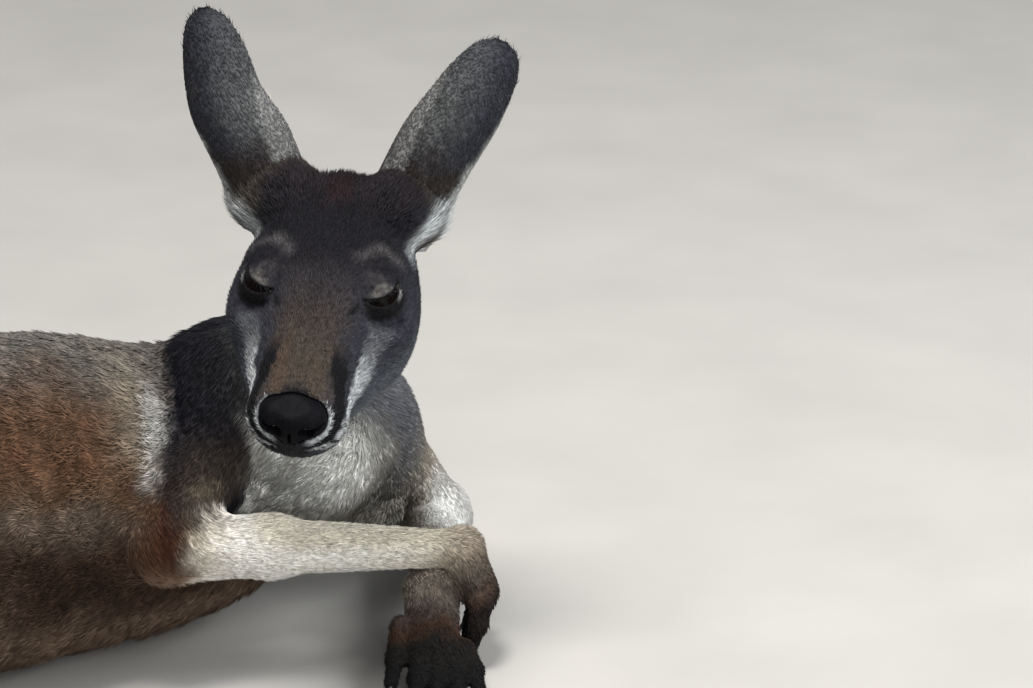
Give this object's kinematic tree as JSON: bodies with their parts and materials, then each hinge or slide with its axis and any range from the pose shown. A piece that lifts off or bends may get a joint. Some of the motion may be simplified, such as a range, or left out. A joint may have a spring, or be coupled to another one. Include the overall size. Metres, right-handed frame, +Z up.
{
  "type": "red kangaroo",
  "caption": "Life-size still model of a red kangaroo resting on its belly with its head up, fore paws folded in front, hind legs drawn up to one side and tail laid out straight behind.",
  "frame": {"origin": "on the floor, under the middle of the whole model's bounding box", "axes": "+Z up; +X to the animal's left, away from the tail, and along the model's longest extent; the nose points to -Y"},
  "size_m": [1.5184, 1.0056, 0.3854],
  "materials": {
    "coat_grey": "short dense blue-grey fur",
    "coat_rust": "woolly reddish-brown fur",
    "coat_cream": "soft cream and pale tan fur",
    "coat_brown": "short grizzled brown fur",
    "nose": "damp pebbled black skin",
    "eye": "wet dark brown",
    "claw": "black horn with a dull shine"
  },
  "bodies": {
    "root": {"belly": "coat_rust", "chest": "coat_cream", "rump": "coat_rust", "neck": "coat_grey", "head": "coat_grey", "muzzle": "coat_grey", "nose": "nose", "ear_left": "coat_grey", "ear_right": "coat_grey", "eye_left": "eye", "eye_right": "eye", "tail_base": "coat_brown", "tail_middle": "coat_brown", "tail_tip": "coat_brown", "upper_arm_left": "coat_cream", "upper_arm_right": "coat_grey", "forearm_left": "coat_cream", "forearm_right": "coat_cream", "hand_left": "coat_brown", "hand_right": "coat_brown", "thigh_left": "coat_rust", "thigh_right": "coat_rust", "shank_left": "coat_rust", "shank_right": "coat_rust", "foot_left": "coat_brown", "foot_right": "coat_brown", "claw_thumb_left": "claw", "claw_index_left": "claw", "claw_middle_left": "claw", "claw_ring_left": "claw", "claw_little_left": "claw", "claw_thumb_right": "claw", "claw_index_right": "claw", "claw_middle_right": "claw", "claw_ring_right": "claw", "claw_little_right": "claw", "toe_claw_second_left": "claw", "toe_claw_third_left": "claw", "toe_claw_fourth_left": "claw", "toe_claw_fifth_left": "claw", "toe_claw_second_right": "claw", "toe_claw_third_right": "claw", "toe_claw_fourth_right": "claw", "toe_claw_fifth_right": "claw"}
  },
  "joints": []
}
